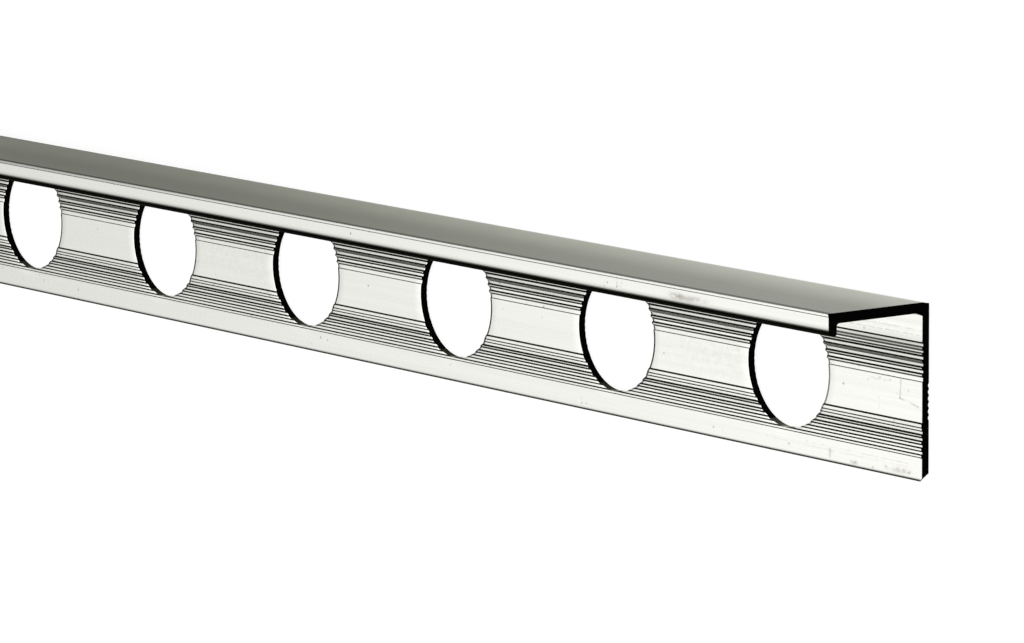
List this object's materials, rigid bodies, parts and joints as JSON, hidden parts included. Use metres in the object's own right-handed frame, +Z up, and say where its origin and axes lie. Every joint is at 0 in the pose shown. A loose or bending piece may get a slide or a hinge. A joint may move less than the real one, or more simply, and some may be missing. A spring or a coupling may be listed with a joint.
{
  "type": "tile edge trim",
  "caption": "Aluminium tile edge trim: a punched, grooved anchoring leg, a web and a short lip that guards the edge of a row of tiles.",
  "frame": {"origin": "middle of the length and of the width, on the leg's underside", "axes": "+X along the length towards the cut end shown in the picture, +Y towards the web's outer face, +Z up from the flat leg to the lip"},
  "size_m": [1, 0.0172, 0.0125],
  "materials": {
    "aluminium": "satin, as extruded, with fine lengthwise lines"
  },
  "bodies": {
    "root": {"edge_trim": "aluminium"}
  },
  "joints": []
}
